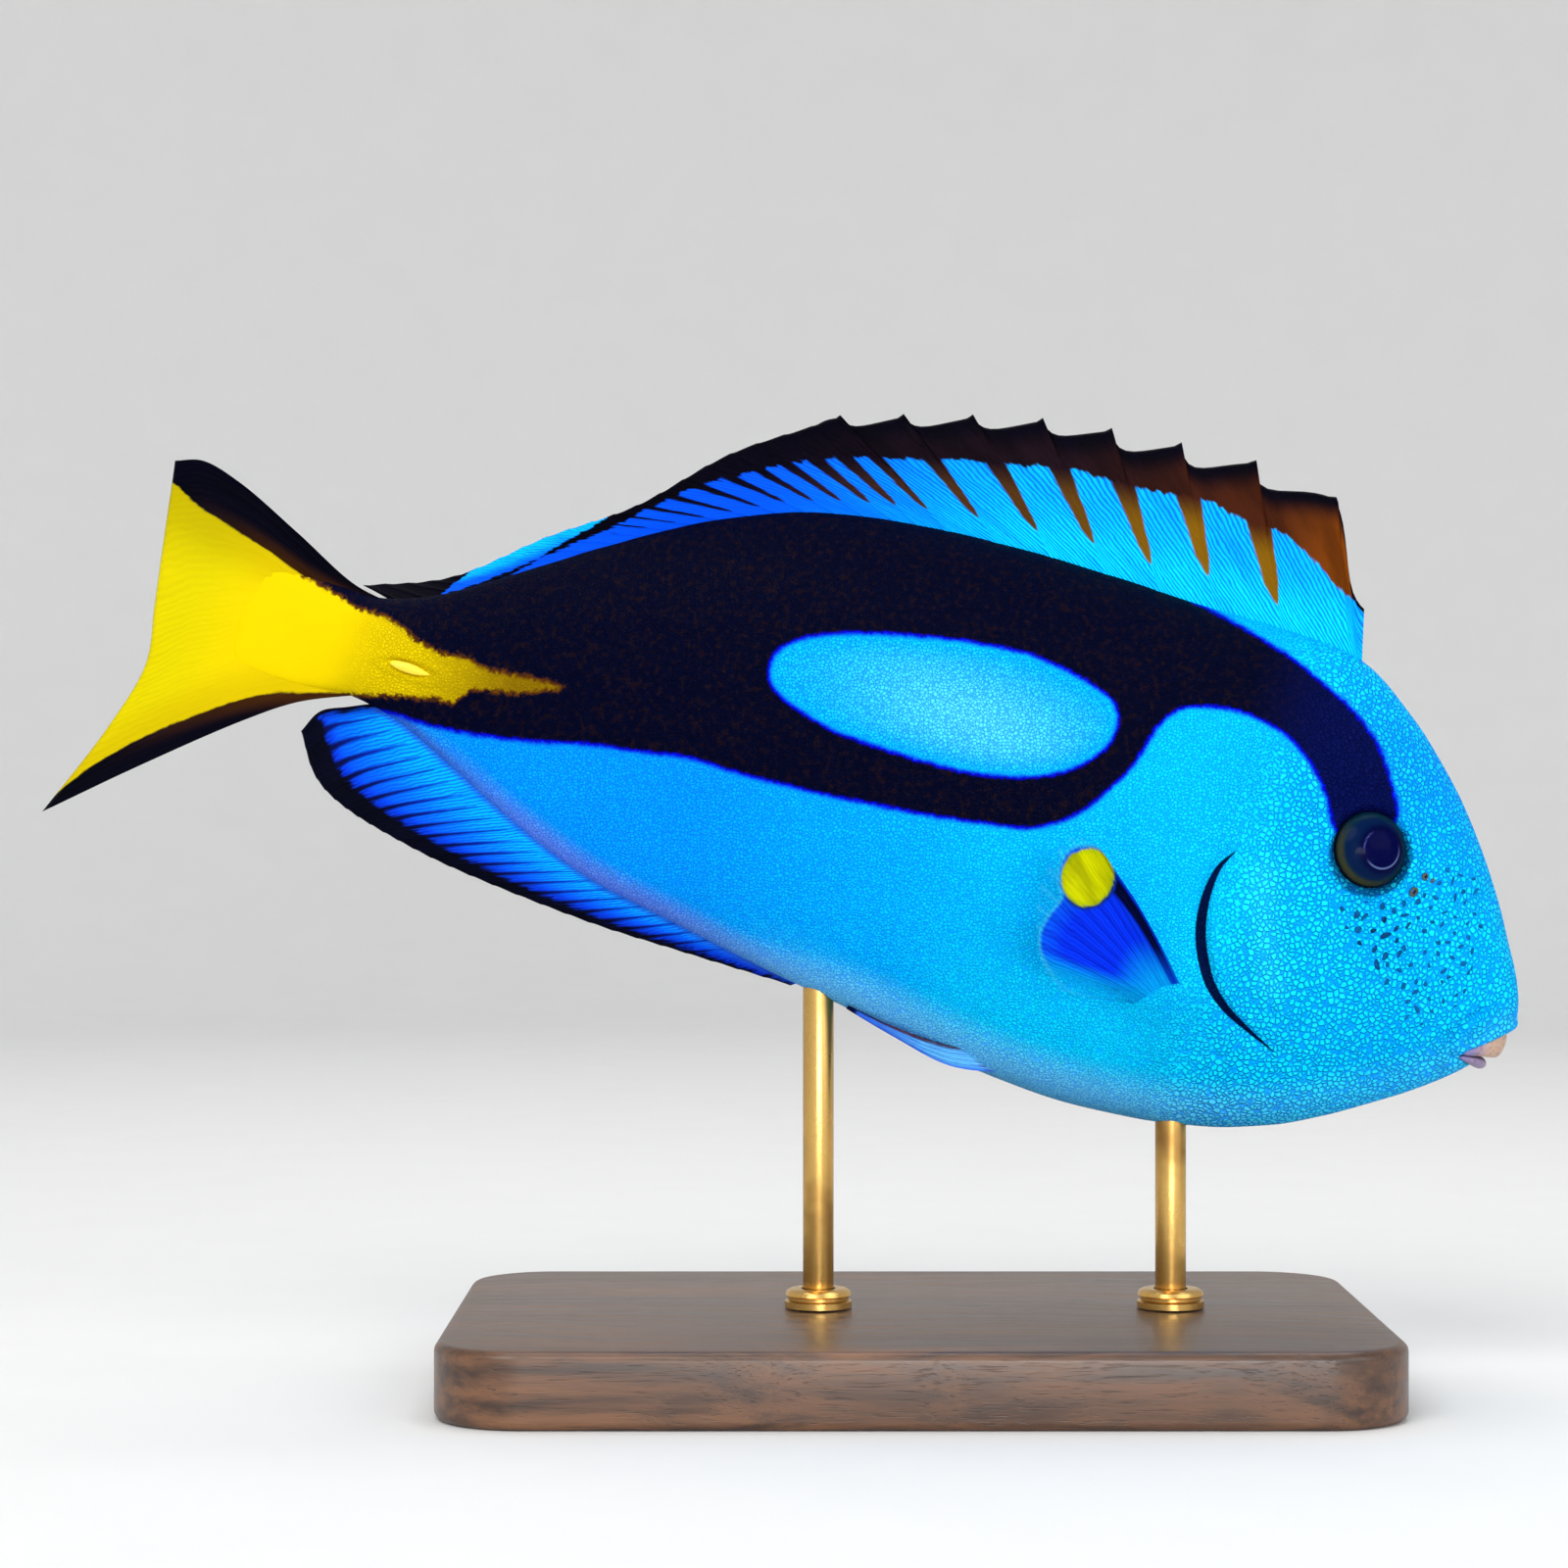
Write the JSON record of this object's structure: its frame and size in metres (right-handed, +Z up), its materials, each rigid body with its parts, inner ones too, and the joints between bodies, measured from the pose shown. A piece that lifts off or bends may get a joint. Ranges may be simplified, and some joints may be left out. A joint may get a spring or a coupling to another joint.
{
  "type": "regal blue tang model",
  "caption": "Life-size still model of a regal blue tang swimming nose down, with spiny dorsal fin, forked tail and tail spines, held over a flat base by upright rods.",
  "frame": {"origin": "on the floor under the middle of the model's box, on the underside of the base", "axes": "+X the way the fish swims, +Y to the fish's left, +Z up; the fish's right side faces -Y"},
  "size_m": [0.2418, 0.1, 0.1576],
  "materials": {
    "skin_blue": "moist scaled skin, vivid blue with a black band, painted as in life",
    "skin_yellow": "moist scaled skin, yellow wedge with dark borders",
    "fin_blue": "thin rayed fin, blue with a dark margin",
    "fin_yellow": "thin rayed fin, yellow with black upper and lower margins",
    "eye": "wet dark eye",
    "spine": "pale bony spine lying in its groove",
    "base": "dark satin-finished wood",
    "rod": "satin brass"
  },
  "bodies": {
    "root": {"head": "skin_blue", "lower_jaw": "skin_blue", "gill_cover_right": "skin_blue", "gill_cover_left": "skin_blue", "trunk": "skin_blue", "tail_stalk": "skin_yellow", "dorsal_fin": "fin_blue", "anal_fin": "fin_blue", "caudal_fin": "fin_yellow", "pectoral_fin_right": "fin_blue", "pectoral_fin_left": "fin_blue", "pelvic_fin_right": "fin_blue", "pelvic_fin_left": "fin_blue", "eye_right": "eye", "eye_left": "eye", "tail_spine_right": "spine", "tail_spine_left": "spine", "stand_base": "base", "stand_rod_front": "rod", "stand_rod_rear": "rod", "stand_collar_front": "rod", "stand_collar_rear": "rod"}
  },
  "joints": []
}
